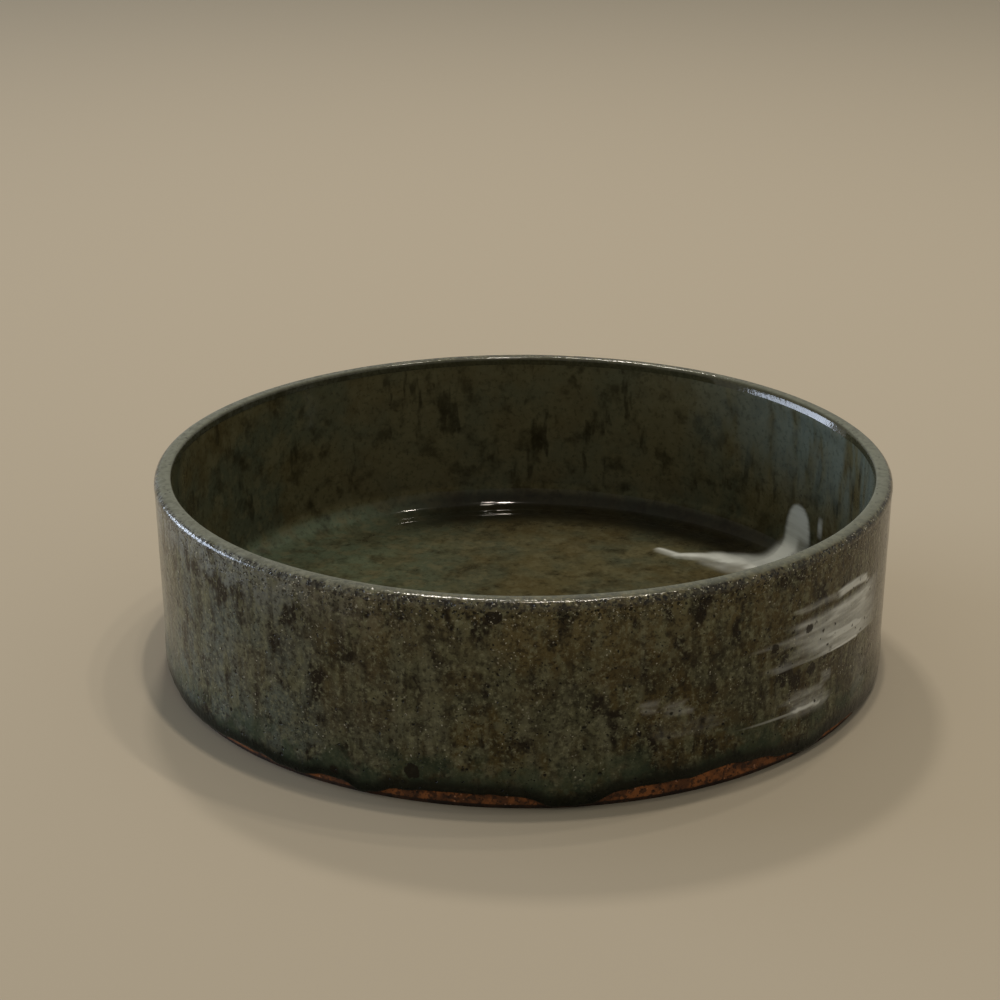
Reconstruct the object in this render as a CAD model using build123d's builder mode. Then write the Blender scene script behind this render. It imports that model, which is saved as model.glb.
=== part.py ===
"""A low round stoneware basin for flower arranging.

A slab-built vessel: a straight wall band stands on the edge of a round floor slab, and a coil of clay is
pressed into the inside corner. White slip is brushed on the clay, and an ash glaze covers everything but
the foot. The clay pieces, the slip and the three runs of glaze are separate solids that meet face to face.

The origin is the middle of the face that stands on the table. +Z is up, and -Y is the front.
Lengths are in millimetres and angles in degrees. An azimuth is counted from +X towards +Y.
"""

import os
from math import cos, radians, sin, tan

from build123d import *

# Whole vessel, measured over the glaze
rim_diameter = 250.0
height = 68.0
wall_lean_angle = 0.76

# Clay
wall_thickness = 4.5
floor_thickness = 5.8
lip_bevel = 1.2
coil_width = 5.2
foot_bevel = 0.8
foot_ring_width = 15.0
hollow_depth = 1.4

# Coats: the glaze rounds off the clay, and the slip is thick enough to stand just proud of the glaze
glaze_thickness = 0.7
slip_thickness = 0.85
lip_band = 3.0
lip_radius = 2.7
lip_inner_bevel = 1.0
inside_corner_radius = 9.3

# Lower edge of the outside glaze: a mean height, a slow swell and a quicker ripple round the wall
glaze_line_height = 3.4
glaze_swell = 1.6
glaze_swell_lobes = 3
glaze_swell_azimuth = -80.0
glaze_ripple = 0.7
glaze_ripple_lobes = 11
glaze_ripple_azimuth = -68.0

# Roll where the outside glaze ran down and thickened
glaze_roll_height = 13.0
glaze_roll_swell = 0.35

# Outside brush marks: azimuths of tip and heel, share of the height, share of the brush's width, tilt
brush_width = 6.0
outside_strokes = [
    (-44.5, -28.0, 0.735, 0.55, -2.0),
    (-49.0, -27.0, 0.645, 1.00, -1.0),
    (-41.0, -29.0, 0.550, 0.70, -1.5),
    (-46.0, -33.0, 0.470, 0.30, 0.0),
    (-66.0, -42.0, 0.260, 0.35, -2.0),
    (-74.0, -71.0, 0.455, 0.65, 0.0),
    (-70.0, -67.0, 0.455, 0.55, 0.0),
]

# Inside splash: a patch on the wall that runs down and sweeps off across the floor to a tail
splash_azimuth = 28.5
splash_top = 29.0
splash_width = 20.0
splash_heel_angle = 6.0
splash_heel_share = 0.86
splash_middle_angle = 12.5
splash_outer_share = 0.85
splash_inner_share = 0.75
splash_tail_angle = 25.5
splash_tail_share = 0.72

# Derived sizes: insets are counted in from the glazed outside of the wall
clay_inset = glaze_thickness
mid_wall_inset = glaze_thickness + wall_thickness / 2
bowl_inset = glaze_thickness + wall_thickness
clay_height = height - glaze_thickness
lip_line = height - lip_band
foot_radius = rim_diameter / 2 - height * tan(radians(wall_lean_angle))
hollow_radius = foot_radius - clay_inset - foot_ring_width
sector_angle = 360 / glaze_ripple_lobes


def wall_point(inset, z):
    """A point of the leaning wall's half section, at an inset and a height."""
    return (foot_radius + z * tan(radians(wall_lean_angle)) - inset, z)


def outline(*corners):
    """A half section with straight sides, to turn into a piece or to keep one piece's share of a coat."""
    with BuildSketch() as section:
        with BuildLine():
            Polyline(*corners, close=True)
        make_face()
    return section.sketch_local


def coat_section(coat, zone):
    """The half section of a coat on the clay, in one zone of the vessel."""
    floor = floor_thickness + coat
    top = clay_height + coat
    lip_outer = wall_point(clay_inset - coat, top)
    lip_inner = wall_point(bowl_inset + coat, top)
    inside_corner = wall_point(bowl_inset + coat, floor)
    with BuildSketch() as section:
        with BuildLine():
            Polyline(
                (0, 0),
                wall_point(clay_inset - coat, 0),
                lip_outer,
                lip_inner,
                inside_corner,
                (0, floor),
                close=True,
            )
        make_face()
        fillet(section.vertices().sort_by_distance(lip_outer)[0], lip_radius)
        chamfer(section.vertices().sort_by_distance(lip_inner)[0], lip_inner_bevel)
        fillet(section.vertices().sort_by_distance(inside_corner)[0], inside_corner_radius)
        for clay_outline in (slab_outline, wall_outline, coil_outline):
            add(clay_outline, mode=Mode.SUBTRACT)
        add(zone, mode=Mode.INTERSECT)
    return section.sketch_local


def glaze_line(azimuth):
    """Height of the outside glaze's lower edge at an azimuth."""
    swell = glaze_swell * cos(glaze_swell_lobes * radians(azimuth - glaze_swell_azimuth))
    ripple = glaze_ripple * cos(glaze_ripple_lobes * radians(azimuth - glaze_ripple_azimuth))
    return glaze_line_height + swell + ripple


def glaze_line_curve(inset):
    """That lower edge as a closed curve at an inset of the foot, with eight points to each ripple."""
    radius = foot_radius - inset
    count = 8 * glaze_ripple_lobes
    azimuths = [360 * step / count for step in range(count)]
    return Spline(
        *[(radius * cos(radians(a)), radius * sin(radians(a)), glaze_line(a)) for a in azimuths],
        periodic=True,
    )


def wall_plane(azimuth, z, tilt):
    """A plane that touches the wall: local x runs round it, tilted up, and local z points out of it."""
    out = Vector(cos(radians(azimuth)), sin(radians(azimuth)), 0)
    round_wall = Vector(-out.Y, out.X, 0) * cos(radians(tilt)) + Vector(0, 0, sin(radians(tilt)))
    return Plane(origin=out * wall_point(0, z)[0] + Vector(0, 0, z), x_dir=round_wall, z_dir=out)


def floor_point(angle, share):
    """A point in plan, turned from the splash and at a share of the way from the axis to the corner."""
    radius = share * wall_point(bowl_inset, floor_thickness)[0]
    azimuth = radians(splash_azimuth + angle)
    return (radius * cos(azimuth), radius * sin(azimuth))


# Half sections of the clay pieces
slab_outline = outline(
    (0, hollow_depth),
    (hollow_radius - hollow_depth, hollow_depth),
    (hollow_radius, 0),
    wall_point(clay_inset + foot_bevel, 0),
    wall_point(clay_inset, foot_bevel),
    wall_point(clay_inset, floor_thickness),
    (0, floor_thickness),
)
wall_outline = outline(
    wall_point(clay_inset, floor_thickness),
    wall_point(clay_inset, clay_height - lip_bevel),
    wall_point(clay_inset + lip_bevel, clay_height),
    wall_point(bowl_inset, clay_height),
    wall_point(bowl_inset, floor_thickness),
)
coil_outline = outline(
    wall_point(bowl_inset, floor_thickness),
    wall_point(bowl_inset, floor_thickness + coil_width),
    wall_point(bowl_inset + coil_width, floor_thickness),
)

# Zones that divide the coats
outside_zone = outline(
    wall_point(mid_wall_inset, 0),
    (rim_diameter, 0),
    (rim_diameter, lip_line),
    wall_point(mid_wall_inset, lip_line),
)
lip_zone = outline((0, lip_line), (rim_diameter, lip_line), (rim_diameter, height), (0, height))
inside_zone = outline(
    (0, floor_thickness),
    wall_point(mid_wall_inset, floor_thickness),
    wall_point(mid_wall_inset, lip_line),
    (0, lip_line),
)

# Wandering top of the bare foot
bare_foot_top = Face.make_surface_from_curves(
    glaze_line_curve(bowl_inset),
    glaze_line_curve(-wall_thickness),
)

# Floor slab, with a shallow hollow turned under it so that it stands on a ring
with BuildPart() as base_slab:
    with BuildSketch(Plane.XZ):
        add(slab_outline)
    revolve(axis=Axis.Z)
base_slab.part.label = "base_slab"

# Wall band, luted on the slab's edge, with its lip bevelled outside
with BuildPart() as wall_band:
    with BuildSketch(Plane.XZ):
        add(wall_outline)
    revolve(axis=Axis.Z)
wall_band.part.label = "wall_band"

# Coil pressed into the inside corner
with BuildPart() as corner_coil:
    with BuildSketch(Plane.XZ):
        add(coil_outline)
    revolve(axis=Axis.Z)
corner_coil.part.label = "corner_coil"

# White slip brushed round the outside: each mark has a round heel and a drawn-out tip
with BuildPart() as outside_slip_strokes:
    for tip_azimuth, heel_azimuth, height_share, width_share, tilt in outside_strokes:
        stroke_plane = wall_plane((tip_azimuth + heel_azimuth) / 2, height_share * height, tilt)
        half_length = rim_diameter / 2 * sin(radians(heel_azimuth - tip_azimuth) / 2)
        heel_radius = brush_width * width_share / 2
        with BuildSketch(stroke_plane):
            with BuildLine():
                heel = CenterArc((half_length - heel_radius, 0), heel_radius, -90, 180)
                TangentArc(heel @ 0, (-half_length, 0), tangent=(-1, 0))
                TangentArc(heel @ 1, (-half_length, 0), tangent=(-1, 0))
            make_face()
        extrude(amount=half_length, both=True)
    with BuildSketch(Plane.XZ):
        add(coat_section(slip_thickness, outside_zone))
    revolve(axis=Axis.Z, mode=Mode.INTERSECT)
outside_slip_strokes.part.label = "outside_slip_strokes"

# White slip inside: a round-topped patch on the wall, and a sweep over the coil and across the floor
with BuildPart() as inside_slip_splash:
    with BuildSketch(wall_plane(splash_azimuth, 0, 0)):
        with BuildLine():
            arch = CenterArc((0, splash_top - splash_width / 2), splash_width / 2, 0, 180)
            Polyline(
                arch @ 1,
                (-splash_width / 2, floor_thickness),
                (splash_width / 2, floor_thickness),
                arch @ 0,
            )
        make_face()
    extrude(amount=-bowl_inset - inside_corner_radius)
    with BuildSketch(Plane.XY.offset(floor_thickness)):
        with BuildLine():
            heel_left = floor_point(splash_heel_angle, 1)
            heel_right = floor_point(-splash_heel_angle, 1)
            heel_front = floor_point(-splash_heel_angle, splash_heel_share)
            tail = floor_point(splash_tail_angle, splash_tail_share)
            ThreePointArc(heel_left, floor_point(splash_middle_angle, splash_outer_share), tail)
            ThreePointArc(tail, floor_point(splash_middle_angle, splash_inner_share), heel_front)
            Polyline(heel_front, heel_right, heel_left)
        make_face()
    extrude(amount=inside_corner_radius)
    with BuildSketch(Plane.XZ):
        add(coat_section(slip_thickness, inside_zone))
    revolve(axis=Axis.Z, mode=Mode.INTERSECT)
inside_slip_splash.part.label = "inside_slip_splash"

# Outside glaze, a sector for each ripple: it swells to a roll and stops at a wandering line above the foot
with BuildPart() as outside_glaze:
    for sector in range(glaze_ripple_lobes):
        with BuildSketch(Plane.XZ.rotated((0, 0, sector * sector_angle))):
            add(coat_section(glaze_thickness, outside_zone))
            with BuildLine():
                roll_foot = wall_point(0, 0)
                roll_top = wall_point(0, glaze_roll_height)
                SagittaArc(roll_foot, roll_top, -glaze_roll_swell)
                Line(roll_top, roll_foot)
            make_face()
        revolve(axis=Axis.Z, revolution_arc=sector_angle, clean=False)
    extrude(bare_foot_top, amount=height, dir=(0, 0, -1), clean=False, mode=Mode.SUBTRACT)
    add(outside_slip_strokes.part, clean=False, mode=Mode.SUBTRACT)
outside_glaze.part.label = "outside_glaze"

# Lip glaze: the thinner, paler run over the lip, rounded outside and eased inside
with BuildPart() as lip_glaze:
    with BuildSketch(Plane.XZ):
        add(coat_section(glaze_thickness, lip_zone))
    revolve(axis=Axis.Z)
lip_glaze.part.label = "lip_glaze"

# Inside glaze: one poured coat over the wall and the floor, which pools over the coil
with BuildPart() as inside_glaze:
    with BuildSketch(Plane.XZ):
        add(coat_section(glaze_thickness, inside_zone))
    revolve(axis=Axis.Z)
    add(inside_slip_splash.part, mode=Mode.SUBTRACT)
inside_glaze.part.label = "inside_glaze"

pieces = [
    base_slab,
    wall_band,
    corner_coil,
    outside_slip_strokes,
    inside_slip_splash,
    outside_glaze,
    lip_glaze,
    inside_glaze,
]
os.makedirs("parts", exist_ok=True)
for piece in pieces:
    export_step(piece.part, f"parts/{piece.part.label}.step")
    print(piece.part.label, round(piece.part.volume / 1000, 2), "cm3")
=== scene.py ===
"""The looks of a low round stoneware flower basin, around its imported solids.

Metres, in the solids' own frame: +Z is up, -Y is the front, and the origin is on the table under the middle.
An azimuth is counted from +X towards +Y.
"""

from math import atan2, cos, degrees, hypot, pi, radians, sin, sqrt, tan

import bpy
from mathutils import Matrix, Vector, noise


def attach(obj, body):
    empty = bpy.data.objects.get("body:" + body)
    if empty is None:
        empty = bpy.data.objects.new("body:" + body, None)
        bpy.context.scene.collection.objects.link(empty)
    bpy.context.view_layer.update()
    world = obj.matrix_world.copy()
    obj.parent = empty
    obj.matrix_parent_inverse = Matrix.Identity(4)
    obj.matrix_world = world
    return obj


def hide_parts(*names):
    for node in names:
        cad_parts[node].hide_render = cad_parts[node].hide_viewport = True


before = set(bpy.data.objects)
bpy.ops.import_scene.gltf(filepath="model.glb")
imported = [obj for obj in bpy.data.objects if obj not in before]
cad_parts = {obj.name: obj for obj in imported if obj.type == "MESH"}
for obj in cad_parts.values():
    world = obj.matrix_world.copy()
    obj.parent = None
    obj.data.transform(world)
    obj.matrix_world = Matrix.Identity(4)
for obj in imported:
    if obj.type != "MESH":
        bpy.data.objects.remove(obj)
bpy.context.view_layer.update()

MM = 0.001

# Sizes of the solids
RIM_RADIUS = 125.0 * MM
HEIGHT = 68.0 * MM
LEAN = tan(radians(0.76))
FOOT_RADIUS = RIM_RADIUS - HEIGHT * LEAN
GLAZE = 0.7 * MM
WALL = 4.5 * MM
FLOOR = 5.8 * MM
COIL = 5.2 * MM
LIP_LINE = HEIGHT - 3.0 * MM
LIP_RADIUS = 2.7 * MM
LIP_BEVEL = 1.2 * MM
LIP_EASING = 1.2 * MM
CORNER_RADIUS = 9.3 * MM
FOOT_BEVEL = 0.8 * MM
FOOT_TUCK = 1.0 * MM
FOOT_TUCK_HEIGHT = 1.7 * MM
FOOT_RING = 15.0 * MM
HOLLOW_DEPTH = 1.4 * MM
BOWL_INSET = GLAZE + WALL
INSIDE_INSET = BOWL_INSET + GLAZE
INSIDE_FLOOR = FLOOR + GLAZE

# Lower edge of the outside glaze, and the roll above it
GLAZE_LINE = 3.4 * MM
GLAZE_SWELL = 1.6 * MM
SWELL_LOBES = 3
SWELL_AZIMUTH = radians(-80)
GLAZE_RIPPLE = 0.7 * MM
RIPPLE_LOBES = 11
RIPPLE_AZIMUTH = radians(-68)
GLAZE_CRUMBS = 0.9 * MM
CRUMB_LENGTH = 5.0 * MM
ROLL_HEIGHT = 13.0 * MM
ROLL_SWELL = 0.35 * MM
NOSE = 1.3 * MM

# Tongues where the glaze ran farther down and bays where it stopped short: azimuth and half width in degrees,
# how far down in millimetres, and the share of the half width that is flat
GLAZE_TONGUES = {
    "front": (-83.0, 7.0, 3.4),
    "left": (-112.0, 3.5, 1.7),
    "far_left": (-126.0, 5.0, 0.7),
    "right": (-43.5, 5.0, 1.8),
}
GLAZE_BAYS = {
    "right": (-57.0, 9.0, -2.3),
    "left": (-118.0, 4.0, -1.1),
}
FLAT_SHARE = 0.3

# Hand-made unevenness, which only ever takes away
RIM_WANDER = 0.25 * MM
WANDER_LENGTH = 70.0 * MM
RIM_DIP = 0.15 * MM
DIP_LENGTH = 55.0 * MM
RUN_RELIEF = 0.16 * MM
LUMP_RELIEF = 0.10 * MM
LIP_DIMPLES = 0.06 * MM
FLOOR_LUMPS = 0.08 * MM
FLOOR_RIPPLE = 9.0 * MM
RIPPLES_END = 106.0 * MM
RIPPLES_FULL = 96.0 * MM
FOOT_CRUMBS = 0.35 * MM
FOOT_GRIT = 1.9 * MM
RING_SPACING = 4.2 * MM
RING_RELIEF = 0.15 * MM
SLIP_RELIEF = 0.15 * MM

# Bead of glaze that hangs inside the lip at the back right: the azimuth of its middle, the cosines of the
# angles off it where the bead ends and is full, the heights where it starts, is thickest and ends, and the
# slope of its upper side at one azimuth, with what it loses in each radian to the left
BEAD_AZIMUTH = radians(33)
BEAD_END = 0.9135
BEAD_FULL = 0.974
BEAD_START = 58.0 * MM
BEAD_MIDDLE = 64.5 * MM
BEAD_TOP = 66.7 * MM
BEAD_SLOPE = 0.49
BEAD_SLOPE_AZIMUTH = radians(20)
BEAD_SLOPE_LOSS = 0.32

# Brush marks on the outside: azimuth in degrees and height in millimetres of tip and heel, bow and half width
# in millimetres, and how much slip the brush left
STREAKS = {
    "top": dict(tip=(-40.0, 49.4), heel=(-27.4, 48.4), bow=1.6, half_width=1.5, load=1.10),
    "top_tail": dict(tip=(-51.0, 50.2), heel=(-37.0, 50.2), bow=0.3, half_width=1.5, load=0.38),
    "upper": dict(tip=(-44.0, 43.4), heel=(-26.5, 42.8), bow=0.8, half_width=3.2, load=0.90),
    "bright": dict(tip=(-43.0, 37.6), heel=(-29.6, 35.6), bow=0.0, half_width=1.7, load=1.20),
    "low": dict(tip=(-50.6, 17.2), heel=(-42.0, 16.4), bow=0.1, half_width=0.7, load=1.00),
}
VEILS = {
    "painted_light_right": dict(tip=(-33.0, 40.0), heel=(-18.0, 34.0), bow=0.0, half_width=9.0, load=0.26),
    "right_run": dict(tip=(-34.0, 18.0), heel=(-27.0, 16.0), bow=0.0, half_width=9.0, load=0.26),
    "dab": dict(tip=(-42.8, 24.8), heel=(-38.8, 24.0), bow=0.0, half_width=1.8, load=0.42),
    "low_haze": dict(tip=(-53.0, 20.0), heel=(-39.0, 18.0), bow=0.0, half_width=4.5, load=0.42),
    "left_blotch": dict(tip=(-74.6, 31.6), heel=(-70.8, 31.6), bow=0.0, half_width=2.3, load=0.33),
    "right_blotch": dict(tip=(-71.2, 29.8), heel=(-66.2, 29.8), bow=0.0, half_width=2.5, load=0.33),
    "scratch": dict(tip=(-75.0, 23.4), heel=(-60.0, 22.4), bow=0.0, half_width=3.4, load=0.22),
}
LINES = {
    "edge": dict(tip=(-46.5, 32.4), heel=(-31.0, 30.9), bow=0.3, half_width=0.6, load=1.00),
    "low": dict(tip=(-60.0, 17.6), heel=(-42.0, 16.4), bow=0.1, half_width=0.7, load=0.45),
}
BETWEEN_LINES = 25.0
MARKS_FROM = -79.0
MARKS_TO = -11.0

# Thin wash of slip above the edge line: its lowest height, and from nothing to full at each side and its top
WASH_FROM = 28.0
WASH_LEFT = (-53.0, -38.0)
WASH_RIGHT = (-20.0, -31.0)
WASH_TOP = (47.8, 45.4)
WASH_LOAD = 0.66

# Large iron spots and pinholes: azimuth in degrees, height and radius in millimetres
IRON_SPOTS = {
    "wash_large": (-45.1, 43.6, 1.7),
    "wash_beside": (-43.5, 44.8, 0.9),
    "wash_middle": (-41.6, 40.4, 0.8),
    "wash_left": (-52.1, 41.4, 1.7),
    "wash_upper": (-48.6, 44.9, 0.9),
    "wash_lower": (-51.2, 37.9, 0.8),
    "wash_right": (-26.0, 28.2, 1.0),
    "under_edge": (-44.0, 29.4, 2.2),
    "under_lip": (-93.7, 63.2, 2.6),
    "foot_left": (-105.3, 11.0, 2.6),
}

# Splash on the inside: x, y and half width in millimetres along its sweep over the floor, from wall to tail
SPLASH_SWEEP = [
    (104.0, 56.5, 10.0),
    (92.0, 52.0, 11.0),
    (81.0, 54.5, 10.0),
    (73.5, 58.5, 7.5),
    (67.5, 61.2, 4.2),
    (59.0, 61.8, 2.9),
    (52.6, 68.0, 2.4),
]
SWEEP_LOAD = 0.95

# The splash's patch on the wall and the short streak beside it: azimuths in degrees, heights and half width
# in millimetres, how much slip they hold, and the azimuths between which all of the splash lies
PATCH_AZIMUTH = 29.0
PATCH_HALF_WIDTH = 8.0
PATCH_TOP = 29.5
PATCH_LOAD = 1.2
PATCH_WEAR = 0.55
STREAK_AZIMUTH = 22.2
STREAK_HEIGHT = 24.5
STREAK_LOAD = 0.65
SPLASH_FROM = 12.0
SPLASH_TO = 62.0


def smooth_step(low, high, value):
    """Eases from 0 at low to 1 at high."""
    share = min(max((value - low) / (high - low), 0.0), 1.0)
    return share * share * (3.0 - 2.0 * share)


def wall_radius(inset, z):
    """Radius of the leaning wall at an inset from its glazed outside and at a height."""
    return FOOT_RADIUS + z * LEAN - inset


def unevenness(azimuth, z, grain, stretch, seed):
    """Smooth noise from 0 to 1 on the wall, with a grain size round it and that times stretch up it."""
    return 0.5 + 0.5 * noise.noise(
        (
            RIM_RADIUS * cos(azimuth) / grain,
            RIM_RADIUS * sin(azimuth) / grain,
            z / (grain * stretch) + seed,
        )
    )


def glaze_edge(azimuth):
    """Height of the outside glaze's lower edge: the solids' line with tongues, bays and crumbs along it."""
    swell = GLAZE_SWELL * cos(SWELL_LOBES * (azimuth - SWELL_AZIMUTH))
    ripple = GLAZE_RIPPLE * cos(RIPPLE_LOBES * (azimuth - RIPPLE_AZIMUTH))
    crumbs = GLAZE_CRUMBS * (unevenness(azimuth, 0, CRUMB_LENGTH, 1, 3.7) - 0.5)
    down = 0.0
    for middle, half_width, fall in (*GLAZE_TONGUES.values(), *GLAZE_BAYS.values()):
        off_middle = abs(degrees(azimuth) - middle)
        down += fall * MM * smooth_step(half_width, FLAT_SHARE * half_width, off_middle)
    return max(GLAZE_LINE + swell + ripple + crumbs - down, FOOT_BEVEL)


def hand_wander(azimuth, radius, z):
    """The slow wander of a hand-built wall and rim, nothing at the foot and most at the lip."""
    share = z / HEIGHT
    pull = RIM_WANDER * unevenness(azimuth, 0, WANDER_LENGTH, 1, 11.3)
    dip = RIM_DIP * unevenness(azimuth, 0, DIP_LENGTH, 1, 23.9)
    return radius - share * pull, z - share * share * dip


def lip_bead(azimuth, z):
    """How far the inside of the lip moves outwards at the bead: less than nothing up to the bead's top."""
    back_right = smooth_step(BEAD_END, BEAD_FULL, cos(azimuth - BEAD_AZIMUTH))
    slope = BEAD_SLOPE - BEAD_SLOPE_LOSS * (azimuth - BEAD_SLOPE_AZIMUTH)
    hanging = smooth_step(BEAD_START, BEAD_MIDDLE, z)
    return back_right * hanging * slope * (max(z, BEAD_MIDDLE) - BEAD_TOP)


def along_mark(angle, mark):
    """How far along a brush mark an azimuth lies, and the height of the mark's middle there."""
    (tip, tip_z), (heel, heel_z) = mark["tip"], mark["heel"]
    along = (angle - tip) / (heel - tip)
    return along, tip_z + (heel_z - tip_z) * along + 4 * mark["bow"] * along * (1 - along)


def bristles(azimuth, z, seed):
    """Uneven reach of the brush's hairs, from -0.5 to 0.5, in long thin rows."""
    return unevenness(azimuth, z, 12 * MM, 0.14, seed) - 0.5


def brush_mark(angle, z, mark, fade, spread):
    """Slip that one brush mark leaves at a place: a full heel, a tip that fades, and ragged sides."""
    along, middle = along_mark(angle, mark)
    along += 0.5 * bristles(radians(angle), z, 6.1)
    across = abs(z / MM - middle) / mark["half_width"]
    if across > spread or not 0.0 < along < 1.1:
        return 0.0
    ends = smooth_step(0.0, fade, along) * smooth_step(1.1, 0.9, along)
    return mark["load"] * ends * smooth_step(spread, 0.4, across)


def outside_slip(azimuth, radius, z):
    """White slip at a place on the outside: soft veils with streaks in them."""
    angle = degrees(azimuth)
    if not MARKS_FROM < angle < MARKS_TO:
        return 0.0
    veil = max(brush_mark(angle, z, mark, fade=0.45, spread=1.7) for mark in VEILS.values())
    streak = max(brush_mark(angle, z, mark, fade=0.35, spread=1.4) for mark in STREAKS.values())
    return max(veil, streak)


def slip_wash(azimuth, radius, z):
    """Thin slip that the brush spread above its lower edge: ragged at its left, fading to top and right."""
    angle = degrees(azimuth)
    height = z / MM
    if not MARKS_FROM < angle < MARKS_TO or height < WASH_FROM:
        return 0.0
    ragged = angle + 16 * bristles(azimuth, z, 9.4)
    sides = smooth_step(*WASH_LEFT, ragged) * smooth_step(*WASH_RIGHT, angle)
    return WASH_LOAD * sides * smooth_step(*WASH_TOP, height)


def iron_depth(azimuth, radius, z):
    """Millimetres inside the edge of the nearest large iron spot, less than nothing outside it."""
    depth = -3.0
    for spot_angle, spot_z, spot_radius in IRON_SPOTS.values():
        round_wall = (degrees(azimuth) - spot_angle) * radians(1) * radius / MM
        depth = max(depth, spot_radius - hypot(round_wall, z / MM - spot_z))
    return depth


def nearest_line(z):
    """The thin line of slip that is nearest to a height."""
    return LINES["edge"] if z > BETWEEN_LINES * MM else LINES["low"]


def line_across(azimuth, radius, z):
    """Distance above the middle of the nearest thin line, in half widths that swell towards its heel."""
    mark = nearest_line(z)
    along, middle = along_mark(degrees(azimuth), mark)
    swelling = 0.4 + 0.6 * min(max(along, 0.0), 1.0)
    return (z / MM - middle) / (mark["half_width"] * swelling)


def line_load(azimuth, radius, z):
    """Slip in the nearest thin line at an azimuth."""
    mark = nearest_line(z)
    along, _ = along_mark(degrees(azimuth), mark)
    ends = smooth_step(0.0, 0.6, along) * smooth_step(1.04, 0.97, along)
    return mark["load"] * ends * smooth_step(1.0, 3.0, abs(z / MM - BETWEEN_LINES))


def splash_sweep(place):
    """Slip of the sweep at a place on the floor in millimetres: full at its back edge, thin at its front."""
    slip = 0.0
    for (x0, y0, w0), (x1, y1, w1) in zip(SPLASH_SWEEP, SPLASH_SWEEP[1:]):
        start = Vector((x0, y0, 0))
        run = Vector((x1, y1, 0)) - start
        share = min(max((place - start).dot(run) / run.length_squared, 0.0), 1.0)
        width = w0 + (w1 - w0) * share
        off_path = (place - start - share * run) / width
        towards_front = off_path.length if run.cross(off_path).z > 0 else -off_path.length
        edges = smooth_step(-1.4, -0.5, towards_front) * smooth_step(1.5, 0.7, towards_front)
        slip = max(slip, edges * (1 - 0.5 * smooth_step(-0.3, 0.5, towards_front)))
    return slip


def inside_slip(azimuth, radius, z):
    """White slip at a place on the inside: a patch on the wall that is worn at its lower right, a short
    streak beside it, and the sweep over the floor."""
    angle = degrees(azimuth)
    if not SPLASH_FROM < angle < SPLASH_TO:
        return 0.0
    height = z / MM
    side = (angle - PATCH_AZIMUTH) * radians(1) * radius / MM
    wall = smooth_step(95 * MM, 105 * MM, radius)
    edge = PATCH_HALF_WIDTH * sqrt(max(1 - (height / PATCH_TOP) ** 4, 0.0))
    top = smooth_step(PATCH_TOP + 1, PATCH_TOP - 3, height)
    worn = PATCH_WEAR * smooth_step(20, 13, height) * smooth_step(2.0, -2.0, side)
    patch = PATCH_LOAD * wall * top * smooth_step(edge + 1.8, edge - 1.8, abs(side)) * (1 - worn)
    off_streak = abs(angle - STREAK_AZIMUTH) * radians(1) * radius / MM
    off_middle = abs(height - STREAK_HEIGHT)
    streak = STREAK_LOAD * wall * smooth_step(2.5, 0.7, off_streak) * smooth_step(6, 2, off_middle)
    place = Vector((radius * cos(azimuth), radius * sin(azimuth), 0)) / MM
    sweep = SWEEP_LOAD * splash_sweep(place) * smooth_step(15, 10, height)
    cloudy = 0.72 + 0.4 * unevenness(azimuth, z, 9 * MM, 1, radius / (7 * MM))
    return cloudy * max(patch, streak, sweep)


# Modelling

MERGED_WITHIN = 0.001 * MM
SHARP_FROM = radians(50)


def turn_piece(name, section, steps):
    """Draws a half section from point to point out of one vertex, and turns it round the middle."""
    bpy.ops.object.select_all(action="DESELECT")
    first_x, first_z = section[0]
    bpy.ops.mesh.primitive_plane_add(size=MM, location=(first_x, 0, first_z))
    bpy.ops.object.transform_apply(location=True, rotation=True, scale=True)
    piece = bpy.context.object
    piece.name = name
    bpy.ops.object.mode_set(mode="EDIT")
    bpy.ops.mesh.select_all(action="SELECT")
    bpy.ops.mesh.merge(type="CENTER")
    for (x0, z0), (x1, z1) in zip(section, section[1:]):
        bpy.ops.mesh.extrude_vertices_move(TRANSFORM_OT_translate={"value": (x1 - x0, 0, z1 - z0)})
    bpy.ops.object.mode_set(mode="OBJECT")
    turning = piece.modifiers.new("turning", "SCREW")
    turning.angle = 2 * pi
    turning.steps = steps
    turning.render_steps = steps
    turning.use_merge_vertices = True
    bpy.ops.object.modifier_apply(modifier="turning")
    bpy.ops.object.mode_set(mode="EDIT")
    bpy.ops.mesh.select_all(action="SELECT")
    bpy.ops.mesh.remove_doubles(threshold=MERGED_WITHIN)
    bpy.ops.mesh.normals_make_consistent(inside=False)
    bpy.ops.object.mode_set(mode="OBJECT")
    return piece


def sculpt(piece, reshape):
    """Moves each vertex of a piece to the radius and height that reshape gives for its place."""
    for vertex in piece.data.vertices:
        azimuth = atan2(vertex.co.y, vertex.co.x)
        radius, z = reshape(azimuth, hypot(vertex.co.x, vertex.co.y), vertex.co.z)
        vertex.co = (radius * cos(azimuth), radius * sin(azimuth), z)


def paint(piece, name, amount):
    """Gives each vertex of a piece a value that its material reads by name."""
    values = []
    for vertex in piece.data.vertices:
        azimuth = atan2(vertex.co.y, vertex.co.x)
        values.append(amount(azimuth, hypot(vertex.co.x, vertex.co.y), vertex.co.z))
    piece.data.attributes.new(name, "FLOAT", "POINT").data.foreach_set("value", values)


def finish_piece(piece, material, slot, *nodes):
    """Smooths a piece, gives it its material, and puts it in the place of its solids."""
    bpy.ops.object.select_all(action="DESELECT")
    piece.select_set(True)
    bpy.context.view_layer.objects.active = piece
    bpy.ops.object.shade_smooth_by_angle(angle=SHARP_FROM)
    piece.data.materials.clear()
    piece.data.materials.append(material)
    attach(piece, "root")
    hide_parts(*nodes)


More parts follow.
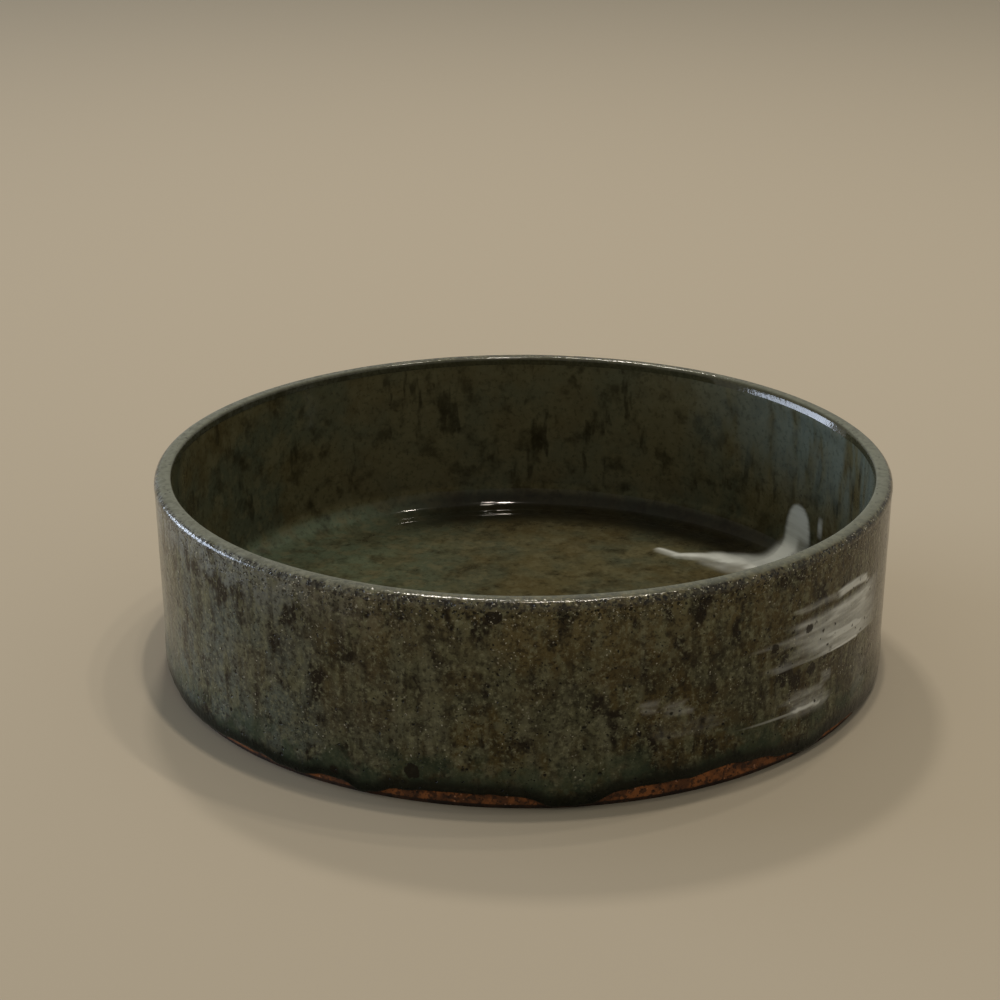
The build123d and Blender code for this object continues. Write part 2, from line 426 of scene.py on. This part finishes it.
def arc(centre, radius, start, end, count):
    """Points of an arc in the half section, without its first one."""
    angles = [start + (end - start) * step / count for step in range(1, count + 1)]
    return [(centre[0] + radius * cos(a), centre[1] + radius * sin(a)) for a in angles]


def rows(start, end, spacing):
    """Points of a straight run in the half section at about that spacing, without its first one."""
    run = Vector(end) - Vector(start)
    count = max(round(run.length / spacing), 1)
    return [tuple(Vector(start) + run * step / count) for step in range(1, count + 1)]


def wall_point(inset, z):
    """A point of the wall's half section."""
    return (wall_radius(inset, z), z)


# Materials


def linear(colour):
    """An sRGB hex colour as the linear colour that a shader takes."""
    channels = [int(colour[place : place + 2], 16) / 255 for place in (1, 3, 5)]
    return (*[c / 12.92 if c <= 0.04045 else ((c + 0.055) / 1.055) ** 2.4 for c in channels], 1.0)


def add(tree, kind, inputs, **settings):
    """Adds a node with its settings, and with its inputs as values or as links from other nodes."""
    node = tree.nodes.new("ShaderNode" + kind)
    for name, value in settings.items():
        setattr(node, name, value)
    for name, value in inputs.items():
        if isinstance(value, bpy.types.NodeSocket):
            tree.links.new(value, node.inputs[name])
        else:
            node.inputs[name].default_value = value
    return node


def new_material(name):
    """An empty node material."""
    material = bpy.data.materials.new(name)
    material.use_nodes = True
    material.node_tree.nodes.clear()
    return material


def spots(tree, place, spacing, share, biggest):
    """Round spots up to a biggest radius, in a share of the cells of that spacing: 0 off, 1 on."""
    cells = add(tree, "TexVoronoi", {"Vector": place, "Scale": 1 / spacing})
    size = add(
        tree,
        "MapRange",
        {
            "Value": cells.outputs["Color"],
            "From Min": 1 - share,
            "From Max": 1.0,
            "To Max": biggest / spacing,
        },
    )
    depth = add(
        tree,
        "Math",
        {0: size.outputs["Result"], 1: cells.outputs["Distance"]},
        operation="SUBTRACT",
    )
    return add(
        tree,
        "MapRange",
        {"Value": depth.outputs[0], "From Max": 0.12},
        interpolation_type="SMOOTHSTEP",
    ).outputs["Result"]


def between(tree, value, off, on):
    """A mask that eases in as a value goes from off to on."""
    return add(
        tree,
        "MapRange",
        {"Value": value, "From Min": off, "From Max": on},
        interpolation_type="SMOOTHSTEP",
    ).outputs["Result"]


def clouds(tree, place, grain, off, on, seed):
    """Soft patches of a grain size, eased in between two levels of the noise."""
    patches = add(
        tree,
        "TexNoise",
        {"Vector": place, "W": seed, "Scale": 1 / grain, "Detail": 3.0, "Roughness": 0.6},
        noise_dimensions="4D",
    )
    return between(tree, patches.outputs[0], off, on)


def both(tree, first, second):
    """Where two masks are both on."""
    return add(tree, "Math", {0: first, 1: second}, operation="MULTIPLY").outputs[0]


def either(tree, first, second):
    """Where one of two masks is on."""
    return add(tree, "Math", {0: first, 1: second}, operation="MAXIMUM").outputs[0]


def painted(tree, name):
    """A value that was painted on the piece."""
    return add(tree, "Attribute", {}, attribute_name=name).outputs["Fac"]


def stretched(tree, place, scale):
    """Places scaled along their axes, which draws out what is patterned by them."""
    return add(tree, "Mapping", {"Vector": place, "Scale": scale}).outputs["Vector"]


def lay(tree, colour, layers):
    """Lays tones over a colour one after the other, each by its mask and its strength."""
    for mask, strength, tone in layers:
        share = add(tree, "Math", {0: mask, 1: strength}, operation="MULTIPLY").outputs[0]
        colour = add(tree, "Mix", {0: share, 6: colour, 7: linear(tone)}, data_type="RGBA").outputs[2]
    return colour


def brushed_slip(tree, place, thread):
    """White slip where it is painted, with the streaks and bare threads that the brush leaves."""
    drawn_round = stretched(tree, place, (0.12, 0.12, 1))
    threads = clouds(tree, drawn_round, 2.0 * MM, 0.32, 0.68, 40.0)
    worked = add(
        tree,
        "Math",
        {0: threads, 1: thread, 2: 1 - thread / 2},
        operation="MULTIPLY_ADD",
    ).outputs[0]
    line_across = painted(tree, "line_across")
    broad = both(tree, painted(tree, "white_slip"), worked)
    wash = both(tree, painted(tree, "slip_wash"), between(tree, line_across, -0.6, 0.8))
    off_line = add(tree, "Math", {0: line_across}, operation="ABSOLUTE").outputs[0]
    thin = both(tree, between(tree, off_line, 1.3, 0.3), painted(tree, "line_load"))
    spread = either(tree, both(tree, wash, worked), both(tree, thin, worked))
    return either(tree, between(tree, broad, 0.05, 1.15), spread)


def glossy_coat(tree, colour, height, relief, roughness, gloss):
    """A fired glossy coat over a colour, with the relief of its pinholes and peel."""
    bump = add(tree, "Bump", {"Height": height, "Strength": 0.8, "Distance": relief})
    shader = add(
        tree,
        "BsdfPrincipled",
        {
            "Base Color": colour,
            "Roughness": roughness,
            "IOR": 1.52,
            "Specular IOR Level": gloss,
            "Normal": bump.outputs["Normal"],
        },
    )
    add(tree, "OutputMaterial", {"Surface": shader.outputs["BSDF"]})


def outside_ash_glaze(name, gloss):
    """Wood-ash glaze on iron stoneware, dipped and fired glossy: speckled olive brown with dark blooms, a
    grey haze to the left that is partly a painted sheen, a painted sheen high on the left, painted shade on
    the right, painted glints, a green-black roll at the foot, and pinholes that crowd under the lip."""
    material = new_material(name)
    tree = material.node_tree
    place = add(tree, "TexCoord", {}).outputs["Object"]
    axes = add(tree, "SeparateXYZ", {"Vector": place}).outputs
    drawn_down = stretched(tree, place, (1, 1, 0.15))
    drawn_round = stretched(tree, place, (0.05, 0.05, 1))
    above_edge = painted(tree, "above_edge")
    warp = add(tree, "TexNoise", {"Vector": place, "Scale": 1 / (1.2 * MM), "Detail": 1.0})
    crooked = add(
        tree,
        "VectorMath",
        {0: warp.outputs["Color"], 1: (1.2 * MM, 1.2 * MM, 1.2 * MM), 2: place},
        operation="MULTIPLY_ADD",
    ).outputs["Vector"]

    # Where each tone of the melt lies, and where light and shade are painted
    drift = clouds(tree, place, 26 * MM, 0.44, 0.56, 0.0)
    warmth = clouds(tree, place, 14 * MM, 0.46, 0.60, 4.0)
    blooms = clouds(tree, stretched(tree, place, (1, 1, 0.6)), 7 * MM, 0.50, 0.64, 8.0)
    blots = clouds(tree, place, 3.4 * MM, 0.50, 0.66, 36.0)
    mottle = clouds(tree, place, 3.4 * MM, 0.52, 0.64, 44.0)
    runs = clouds(tree, drawn_down, 5 * MM, 0.50, 0.66, 12.0)
    pale_runs = clouds(tree, drawn_down, 8 * MM, 0.52, 0.68, 14.0)
    pale_blooms = clouds(tree, stretched(tree, place, (1, 1, 0.5)), 5 * MM, 0.53, 0.62, 18.0)
    wipes = clouds(tree, drawn_round, 1.6 * MM, 0.58, 0.75, 16.0)
    left = between(tree, axes["X"], -15 * MM, -122 * MM)
    # Partly a grey haze in the glaze and partly a painted sheen of the room on the left wall
    left_haze_and_sheen = both(tree, left, clouds(tree, drawn_down, 9 * MM, 0.30, 0.60, 20.0))
    # Painted shade: the right of the wall darker, and darker still at its far right edge, against the floor's
    # sheen there
    painted_shade_right = between(tree, axes["X"], 20 * MM, 118 * MM)
    painted_shade_far_right = between(tree, axes["X"], 98 * MM, 122 * MM)
    dark_grain = clouds(tree, place, 1.3 * MM, 0.47, 0.37, 24.0)
    pale_grain = clouds(tree, place, 1.3 * MM, 0.54, 0.66, 24.0)
    upper = between(tree, axes["Z"], 42 * MM, 62 * MM)
    low_left = both(tree, left, between(tree, axes["Z"], 34 * MM, 14 * MM))
    # Painted sheen high on the left wall, under the lip
    painted_sheen_high_left = both(tree, left, between(tree, axes["Z"], 49 * MM, 62 * MM))
    under_lip = between(tree, axes["Z"], 57 * MM, 65 * MM)
    on_coat = between(tree, above_edge, 0.0, 0.1)
    roll = both(tree, on_coat, between(tree, above_edge, 8.0, 3.0))
    low_down = both(tree, between(tree, above_edge, 18.0, 8.0), between(tree, above_edge, 2.0, 6.0))
    pooled = both(tree, on_coat, clouds(tree, place, 9 * MM, 0.42, 0.58, 28.0))
    teal = both(tree, pooled, low_down)
    rough_edge = add(tree, "TexNoise", {"Vector": place, "Scale": 1 / (1.2 * MM), "Detail": 2.0}).outputs[0]
    depth = add(
        tree,
        "Math",
        {0: rough_edge, 1: 1.6, 2: painted(tree, "iron_depth")},
        operation="MULTIPLY_ADD",
    )
    large_iron = between(tree, depth.outputs[0], 0.7, 1.1)
    iron = either(tree, large_iron, spots(tree, crooked, 11 * MM, 0.6, 2.4 * MM))
    pale_lip = painted(tree, "lip_top")
    inner_side = painted(tree, "lip_inside")
    calm = either(tree, pale_lip, inner_side)
    off_lip = between(tree, calm, 0.12, 0.02)
    lip_mottle = both(tree, pale_lip, clouds(tree, place, 2.4 * MM, 0.46, 0.62, 30.0))
    lip_pits = both(tree, pale_lip, spots(tree, crooked, 1.7 * MM, 0.8, 0.7 * MM))
    slip = brushed_slip(tree, place, thread=0.6)
    off_roll = either(tree, pale_lip, between(tree, above_edge, 5.0, 12.0))
    # Painted glints: pale specks that stand in for highlights on the pits' rims, in clusters, and crowded
    # under the lip
    clusters = both(tree, off_roll, clouds(tree, place, 7 * MM, 0.42, 0.66, 48.0))
    small_painted_glints = both(tree, clusters, spots(tree, crooked, 1.2 * MM, 0.8, 0.42 * MM))
    crowded_painted_glints = both(tree, under_lip, spots(tree, crooked, 1.0 * MM, 0.9, 0.42 * MM))
    painted_glints = both(tree, off_lip, either(tree, small_painted_glints, crowded_painted_glints))
    large_pits = spots(tree, crooked, 3.2 * MM, 0.7, 1.0 * MM)
    small_pits = spots(tree, crooked, 1.3 * MM, 0.6, 0.50 * MM)
    crowded_pits = both(tree, under_lip, spots(tree, crooked, 1.1 * MM, 1.0, 0.65 * MM))
    off_slip = both(tree, either(tree, small_pits, crowded_pits), between(tree, slip, 0.45, 0.15))
    pits = both(tree, either(tree, large_pits, off_slip), off_lip)

    colour = lay(
        tree,
        linear("#51472a"),
        [
            (drift, 0.72, "#4e5140"),
            (warmth, 0.50, "#48391c"),
            (upper, 0.50, "#736848"),
            # partly grey haze, partly painted sheen
            (left_haze_and_sheen, 0.72, "#616b68"),
            # painted shade on the right
            (painted_shade_right, 0.42, "#2e2512"),
            (painted_shade_far_right, 0.50, "#231c10"),
            (pale_runs, 0.60, "#6d6c58"),
            (low_left, 0.45, "#4b5852"),
            # painted sheen high on the left
            (painted_sheen_high_left, 0.52, "#8b9192"),
            (blooms, 0.94, "#170f07"),
            (pale_blooms, 0.58, "#6b6a50"),
            (blots, 0.48, "#1d150a"),
            (mottle, 0.50, "#6e6d56"),
            (runs, 0.46, "#1a150a"),
            (wipes, 0.20, "#757160"),
            (dark_grain, 0.56, "#150f07"),
            (pale_grain, 0.54, "#828269"),
            (roll, 0.92, "#0b1009"),
            (teal, 0.62, "#324131"),
            (slip, 0.92, "#dfe2e0"),
            (iron, 0.88, "#150e07"),
            # painted glints
            (painted_glints, 0.68, "#d0ccbc"),
            (pits, 0.88, "#080604"),
            (inner_side, 0.80, "#3d3c2b"),
            (pale_lip, 0.92, "#6e7163"),
            (lip_mottle, 0.55, "#4b4d41"),
            (lip_pits, 0.72, "#1e1e16"),
        ],
    )
    peel = add(tree, "TexNoise", {"Vector": place, "Scale": 1 / (1.4 * MM), "Detail": 2.0}).outputs[0]
    half_calm = either(tree, pale_lip, both(tree, inner_side, 0.8))
    drawn_thin = both(tree, peel, between(tree, half_calm, 1.3, 0.0))
    sunk = add(tree, "Math", {0: pits, 1: -1.5, 2: drawn_thin}, operation="MULTIPLY_ADD").outputs[0]
    glossy_coat(tree, colour, sunk, relief=0.25 * MM, roughness=0.11, gloss=gloss)
    return material


def inside_ash_glaze():
    """The same glaze poured inside, thicker and smoother: dark olive with drips, painted light on the far and
    right walls, and painted shade in the corner at the back.
    """
    material = new_material("inside_ash_glaze")
    tree = material.node_tree
    place = add(tree, "TexCoord", {}).outputs["Object"]
    axes = add(tree, "SeparateXYZ", {"Vector": place}).outputs
    drawn_down = stretched(tree, place, (1, 1, 0.3))

    # Where each tone of the melt lies, and where light and shade are painted
    drift = clouds(tree, place, 30 * MM, 0.42, 0.60, 50.0)
    warmth = clouds(tree, place, 16 * MM, 0.46, 0.62, 54.0)
    above_floor = between(tree, axes["Z"], 10 * MM, 20 * MM)
    drips = both(tree, above_floor, clouds(tree, drawn_down, 7 * MM, 0.56, 0.66, 58.0))
    mottle = clouds(tree, place, 6 * MM, 0.48, 0.64, 62.0)
    dark_mottle = clouds(tree, place, 9 * MM, 0.50, 0.68, 64.0)
    # Painted light: the far wall made lighter
    painted_light_far_side = both(tree, above_floor, between(tree, axes["Y"], 70 * MM, 112 * MM))
    on_floor = between(tree, axes["Z"], 9 * MM, 7 * MM)
    on_wall = between(tree, axes["Z"], 22 * MM, 50 * MM)
    right = both(tree, on_wall, between(tree, axes["X"], 45 * MM, 112 * MM))
    # Painted light: a patchy grey paleness on the upper right wall, where the window shines in
    painted_light_right = both(tree, right, clouds(tree, drawn_down, 12 * MM, 0.34, 0.58, 66.0))
    level = stretched(tree, place, (1, 1, 0))
    from_middle = add(tree, "VectorMath", {0: level}, operation="LENGTH").outputs["Value"]
    low = between(tree, axes["Z"], 15 * MM, 10 * MM)
    in_corner = both(tree, low, between(tree, from_middle, 90 * MM, 104 * MM))
    # Painted shade: a dark band along the corner at the back, where the floor mirrors the dark wall
    right_of_corner_shade = between(tree, axes["X"], -75 * MM, -25 * MM)
    painted_corner_shade = both(tree, both(tree, in_corner, right_of_corner_shade), between(tree, axes["Y"], 25 * MM, 80 * MM))
    left_pool = both(tree, low, between(tree, axes["X"], -10 * MM, -70 * MM))
    dark_grain = clouds(tree, place, 1.8 * MM, 0.48, 0.36, 70.0)
    pale_grain = clouds(tree, place, 1.8 * MM, 0.54, 0.70, 70.0)
    pits = spots(tree, place, 2.6 * MM, 0.5, 0.6 * MM)

    colour = lay(
        tree,
        linear("#5c563c"),
        [
            (drift, 0.80, "#4b5142"),
            (left_pool, 0.90, "#56624f"),
            (warmth, 0.40, "#4a3c20"),
            # painted light on the far wall
            (painted_light_far_side, 0.42, "#6f694f"),
            (mottle, 0.50, "#6b664c"),
            (on_floor, 0.25, "#2a2516"),
            (dark_mottle, 0.58, "#262113"),
            (drips, 0.60, "#1c180d"),
            # painted light on the right wall
            (painted_light_right, 0.74, "#69736b"),
            (dark_grain, 0.28, "#1a160c"),
            (pale_grain, 0.18, "#757057"),
            # painted shade in the corner at the back
            (painted_corner_shade, 0.85, "#100d07"),
            (brushed_slip(tree, place, thread=0.3), 0.98, "#d8dcd7"),
            (pits, 0.45, "#0c0905"),
        ],
    )
    peel = add(tree, "TexNoise", {"Vector": place, "Scale": 1 / (5 * MM), "Detail": 1.0}).outputs[0]
    drawn_smooth = both(tree, peel, between(tree, in_corner, 0.8, 0.1))
    sunk = add(tree, "Math", {0: pits, 1: -0.5, 2: drawn_smooth}, operation="MULTIPLY_ADD").outputs[0]
    glossy_coat(tree, colour, sunk, relief=0.06 * MM, roughness=0.06, gloss=0.15)
    return material


def bare_stoneware():
    """Iron-bearing stoneware, turned and fired bare: dry orange brown with dark grog, and painted shade where
    it turns under."""
    material = new_material("bare_stoneware")
    tree = material.node_tree
    place = add(tree, "TexCoord", {}).outputs["Object"]
    axes = add(tree, "SeparateXYZ", {"Vector": place}).outputs
    # Painted shade where the foot turns under, close to the floor
    painted_shade_under = between(tree, axes["Z"], 1.9 * MM, 1.3 * MM)
    colour = lay(
        tree,
        linear("#5a351a"),
        [
            (clouds(tree, place, 7 * MM, 0.40, 0.56, 80.0), 0.9, "#94592c"),
            (clouds(tree, place, 1.8 * MM, 0.50, 0.60, 84.0), 0.8, "#2c1a0c"),
            (spots(tree, place, 1.2 * MM, 0.9, 0.6 * MM), 0.85, "#170d07"),
            (spots(tree, place, 1.5 * MM, 0.7, 0.5 * MM), 0.7, "#b8866a"),
            # painted shade under the foot
            (painted_shade_under, 0.85, "#140c06"),
        ],
    )
    grain = add(tree, "TexNoise", {"Vector": place, "Scale": 1 / (0.8 * MM), "Detail": 4.0})
    bump = add(tree, "Bump", {"Height": grain.outputs[0], "Strength": 0.8, "Distance": 0.3 * MM})
    shader = add(
        tree,
        "BsdfPrincipled",
        {"Base Color": colour, "Roughness": 0.85, "IOR": 1.5, "Normal": bump.outputs["Normal"]},
    )
    add(tree, "OutputMaterial", {"Surface": shader.outputs["BSDF"]})
    return material


outside_glaze = outside_ash_glaze("outside_ash_glaze", gloss=0.16)
lip_glaze = outside_ash_glaze("lip_ash_glaze", gloss=0.45)
inside_glaze = inside_ash_glaze()
stoneware = bare_stoneware()


# Outside glaze, with the brushed slip under it


def outside_skin(azimuth, radius, z):
    """Lays the outside coat on the wall, down to its wandering edge."""
    edge = glaze_edge(azimuth)
    share = (z - GLAZE_LINE) / (LIP_LINE - GLAZE_LINE)
    height = edge + share * (LIP_LINE - edge)
    if wall_radius(0, z) - radius > GLAZE / 2:
        return hand_wander(azimuth, wall_radius(GLAZE, height), height)
    nose = 1 - min((height - edge) / NOSE, 1.0)
    full = sqrt(1 - nose * nose)
    half_roll = ROLL_HEIGHT / 2
    roll = ROLL_SWELL * max(1 - ((height - half_roll) / half_roll) ** 2, 0.0)
    runs = RUN_RELIEF * unevenness(azimuth, height, 9 * MM, 6, 1.7)
    lumps = LUMP_RELIEF * unevenness(azimuth, height, 4.5 * MM, 1, 8.1)
    raised = SLIP_RELIEF * max(outside_slip(azimuth, radius, height), slip_wash(azimuth, radius, height))
    coat = full * (GLAZE + roll - runs - lumps + raised)
    return hand_wander(azimuth, wall_radius(GLAZE, height) + coat, height)


def height_above_edge(azimuth, radius, z):
    """Millimetres above the glaze's lower edge."""
    return (z - glaze_edge(azimuth)) / MM + 0.2


nose_rows = [wall_point(0, GLAZE_LINE + d * MM) for d in (0.12, 0.3, 0.55, 0.9, 1.3, 1.8, 2.4, 3.2)]
outside_section = [wall_point(GLAZE, GLAZE_LINE)] + nose_rows
outside_section += rows(nose_rows[-1], wall_point(0, LIP_LINE), 0.85 * MM)
outside_section += [wall_point(GLAZE, LIP_LINE), wall_point(GLAZE, GLAZE_LINE)]
outside_coat = turn_piece("outside_glaze_coat", outside_section, steps=840)
sculpt(outside_coat, outside_skin)
paint(outside_coat, "white_slip", outside_slip)
paint(outside_coat, "slip_wash", slip_wash)
paint(outside_coat, "iron_depth", iron_depth)
paint(outside_coat, "line_across", line_across)
paint(outside_coat, "line_load", line_load)
paint(outside_coat, "above_edge", height_above_edge)
finish_piece(outside_coat, outside_glaze, "outside_ash_glaze", "outside_glaze", "outside_slip_strokes")


# Lip glaze, rounded on both sides


def lip_skin(azimuth, radius, z):
    """Follows the rim's wander, dimples the lip, and eases its inside over the bead."""
    dimple = LIP_DIMPLES * unevenness(azimuth, z, 7 * MM, 1, 5.3) * smooth_step(LIP_LINE, HEIGHT, z)
    inset = wall_radius(0, z) - radius
    inwards = min(max((inset - LIP_RADIUS) / (INSIDE_INSET - LIP_RADIUS), 0.0), 1.0)
    return hand_wander(azimuth, radius + inwards * lip_bead(azimuth, z), z - dimple)


def lip_inside(azimuth, radius, z):
    """The inner side of the lip, where the glaze is as smooth as inside."""
    return smooth_step(wall_radius(4.2 * MM, z), wall_radius(5.4 * MM, z), radius)


def lip_top(azimuth, radius, z):
    """How pale the top of the lip is: most at the sides and the inner edge, least at the back."""
    top = smooth_step(HEIGHT - 0.6 * MM, HEIGHT - 0.05 * MM, z)
    inner_edge = smooth_step(wall_radius(3 * MM, z), wall_radius(5 * MM, z), radius)
    sides = 0.35 * cos(azimuth) ** 2
    front_and_back = 0.2 * max(-sin(azimuth), 0.0) + 0.5 * max(sin(azimuth), 0.0)
    return top * min(0.6 + sides - front_and_back + 0.2 * inner_edge, 1.0)


outer_round = (wall_radius(LIP_RADIUS, HEIGHT - LIP_RADIUS), HEIGHT - LIP_RADIUS)
inner_round = (wall_radius(INSIDE_INSET - LIP_EASING, HEIGHT - LIP_EASING), HEIGHT - LIP_EASING)
lip_section = [wall_point(GLAZE, LIP_LINE), wall_point(0, LIP_LINE)]
lip_section += [(outer_round[0] + LIP_RADIUS, outer_round[1])]
lip_section += arc(outer_round, LIP_RADIUS, 0, pi / 2, 14)
lip_section += rows(lip_section[-1], (inner_round[0], HEIGHT), 0.5 * MM)
lip_section += arc(inner_round, LIP_EASING, pi / 2, pi, 10)
lip_section += rows(lip_section[-1], wall_point(INSIDE_INSET, LIP_LINE), 0.7 * MM)
lip_section += [
    wall_point(BOWL_INSET, LIP_LINE),
    wall_point(BOWL_INSET, HEIGHT - GLAZE),
    wall_point(GLAZE + LIP_BEVEL, HEIGHT - GLAZE),
    wall_point(GLAZE, HEIGHT - GLAZE - LIP_BEVEL),
    wall_point(GLAZE, LIP_LINE),
]
lip_coat = turn_piece("lip_glaze_coat", lip_section, steps=720)
paint(lip_coat, "lip_top", lip_top)
paint(lip_coat, "lip_inside", lip_inside)
sculpt(lip_coat, lip_skin)
finish_piece(lip_coat, lip_glaze, "lip_ash_glaze", "lip_glaze")


# Inside glaze, with the splash of slip under it


def inside_skin(azimuth, radius, z):
    """Runs and lumps on the inside wall, and a floor that a poured coat levelled."""
    up_wall = smooth_step(INSIDE_FLOOR + CORNER_RADIUS / 2, INSIDE_FLOOR + 2.5 * CORNER_RADIUS, z)
    if z <= FLOOR or (z > FLOOR + COIL and wall_radius(BOWL_INSET + GLAZE / 2, z) < radius):
        return hand_wander(azimuth, radius, z)
    runs = RUN_RELIEF * unevenness(azimuth, z, 10 * MM, 5, 31.7)
    ripples = noise.noise((radius * cos(azimuth) / FLOOR_RIPPLE, radius * sin(azimuth) / FLOOR_RIPPLE, 2.3))
    lumps = FLOOR_LUMPS * ripples * smooth_step(RIPPLES_END, RIPPLES_FULL, radius)
    raised = SLIP_RELIEF * inside_slip(azimuth, radius, z)
    outwards = up_wall * (runs - raised) + lip_bead(azimuth, z)
    return hand_wander(azimuth, radius + outwards, z + (1 - up_wall) * (lumps + raised))


corner_centre = (
    wall_radius(INSIDE_INSET, INSIDE_FLOOR + CORNER_RADIUS) - CORNER_RADIUS,
    INSIDE_FLOOR + CORNER_RADIUS,
)
corner_top = (corner_centre[0] + CORNER_RADIUS, corner_centre[1])
inside_section = [
    (0, FLOOR),
    wall_point(BOWL_INSET + COIL, FLOOR),
    wall_point(BOWL_INSET, FLOOR + COIL),
    wall_point(BOWL_INSET, LIP_LINE),
    wall_point(INSIDE_INSET, LIP_LINE),
]
inside_section += rows(inside_section[-1], corner_top, 1.1 * MM)
inside_section += arc(corner_centre, CORNER_RADIUS, 0, -pi / 2, 18)
inside_section += rows(inside_section[-1], (0, INSIDE_FLOOR), 1.7 * MM)
inside_coat = turn_piece("inside_glaze_coat", inside_section, steps=600)
sculpt(inside_coat, inside_skin)
paint(inside_coat, "white_slip", inside_slip)
finish_piece(inside_coat, inside_glaze, "inside_ash_glaze", "inside_glaze", "inside_slip_splash")


# Base slab: a rough bare edge, and turning rings in the hollow under it


def slab_skin(azimuth, radius, z):
    """Roughens the bare edge and cuts rings into the hollow, without lowering the ring that it stands on."""
    hollow_edge = FOOT_RADIUS - GLAZE - FOOT_RING
    if radius > hollow_edge and FOOT_TUCK_HEIGHT / 2 < z < FLOOR:
        return radius - FOOT_CRUMBS * unevenness(azimuth, z, FOOT_GRIT, 0.6, 4.4), z
    if radius < hollow_edge - HOLLOW_DEPTH and z < FLOOR:
        ring = 0.5 + 0.5 * cos(2 * pi * radius / RING_SPACING + azimuth)
        return radius, z + RING_RELIEF * ring
    return radius, z


slab_edge = wall_radius(GLAZE, 0)
hollow_radius = slab_edge - FOOT_RING
slab_section = [(0, FLOOR), wall_point(GLAZE, FLOOR)]
slab_section += rows(slab_section[-1], wall_point(GLAZE, FOOT_TUCK_HEIGHT), 0.5 * MM)
slab_section += rows(slab_section[-1], (slab_edge - FOOT_TUCK, 0), 0.4 * MM)
slab_section += rows(slab_section[-1], (hollow_radius, 0), 1.5 * MM)
slab_section += rows(slab_section[-1], (hollow_radius - HOLLOW_DEPTH, HOLLOW_DEPTH), 0.7 * MM)
slab_section += rows(slab_section[-1], (0, HOLLOW_DEPTH), 0.9 * MM)
slab = turn_piece("base_slab_bare", slab_section, steps=480)
sculpt(slab, slab_skin)
finish_piece(slab, stoneware, "stoneware_clay", "base_slab")


# The wall band and the corner coil are the solids themselves, under the glaze
for node in ("wall_band", "corner_coil"):
    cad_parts[node].material_slots[0].material = stoneware


# Studio

PAPER_SIZE = 12.0
LAMP_SIZE = 0.06
LAMP_COLOUR = "#fff4e4"
AIR_COLOUR = "#eeece0"
AIR_STRENGTH = 0.36


def studio_floor():
    """A matt pale paper floor."""
    material = new_material("pale_paper")
    tree = material.node_tree
    shader = add(tree, "BsdfPrincipled", {"Base Color": linear("#b2a794"), "Roughness": 0.9})
    add(tree, "OutputMaterial", {"Surface": shader.outputs["BSDF"]})
    bpy.ops.object.select_all(action="DESELECT")
    bpy.ops.mesh.primitive_plane_add(size=PAPER_SIZE, location=(0, 0, 0))
    floor = bpy.context.object
    floor.name = "studio_floor"
    floor.data.materials.append(material)


def soft_light(name, place, width, height, power, colour):
    """A soft light that faces the basin."""
    light = bpy.data.lights.new(name, "AREA")
    light.shape = "RECTANGLE"
    light.size = width
    light.size_y = height
    light.energy = power
    light.color = linear(colour)[:3]
    lamp = bpy.data.objects.new(name, light)
    lamp.location = place
    lamp.rotation_euler = (-Vector(place)).to_track_quat("-Z", "Y").to_euler()
    bpy.context.scene.collection.objects.link(lamp)


studio_floor()
soft_light("window", (-4.5, 1.48, 0.88), 3.4, 1.2, 112, "#dce9ff")
soft_light("back", (-0.19, 1.12, 1.72), 0.18, 0.18, 9, "#fff6ea")
soft_light("lamp_right", (0.56, 0.30, 1.90), LAMP_SIZE, LAMP_SIZE, 2.5, LAMP_COLOUR)
soft_light("lamp_behind", (0.38, 0.50, 1.90), LAMP_SIZE, LAMP_SIZE, 2.5, LAMP_COLOUR)
soft_light("lamp_above", (0.10, 0.06, 2.00), LAMP_SIZE, LAMP_SIZE, 7, LAMP_COLOUR)
soft_light("lamp_front", (0.20, -0.08, 1.98), LAMP_SIZE, LAMP_SIZE, 2, LAMP_COLOUR)

world = bpy.data.worlds.new("studio_air")
world.use_nodes = True
air = world.node_tree.nodes["Background"].inputs
air["Color"].default_value = linear(AIR_COLOUR)
air["Strength"].default_value = AIR_STRENGTH
bpy.context.scene.world = world
bpy.context.scene.view_settings.view_transform = "Standard"


# Camera, where the photograph was taken from

CAMERA_DISTANCE = 738.2 * MM
CAMERA_RISE = 0.42605
CAMERA_PITCH = 0.35966
CAMERA_YAW = -0.01162
CAMERA_ROLL = -0.00165

view = bpy.data.cameras.new("photo_view")
view.lens = 50.0
view.sensor_width = 24.0
camera = bpy.data.objects.new("photo_view", view)
bpy.context.scene.collection.objects.link(camera)
camera.matrix_world = (
    Matrix.Translation((0, -CAMERA_DISTANCE * cos(CAMERA_RISE), CAMERA_DISTANCE * sin(CAMERA_RISE)))
    @ Matrix.Rotation(-CAMERA_YAW, 4, "Z")
    @ Matrix.Rotation(pi / 2 - CAMERA_PITCH, 4, "X")
    @ Matrix.Rotation(CAMERA_ROLL, 4, "Z")
)
bpy.context.scene.camera = camera
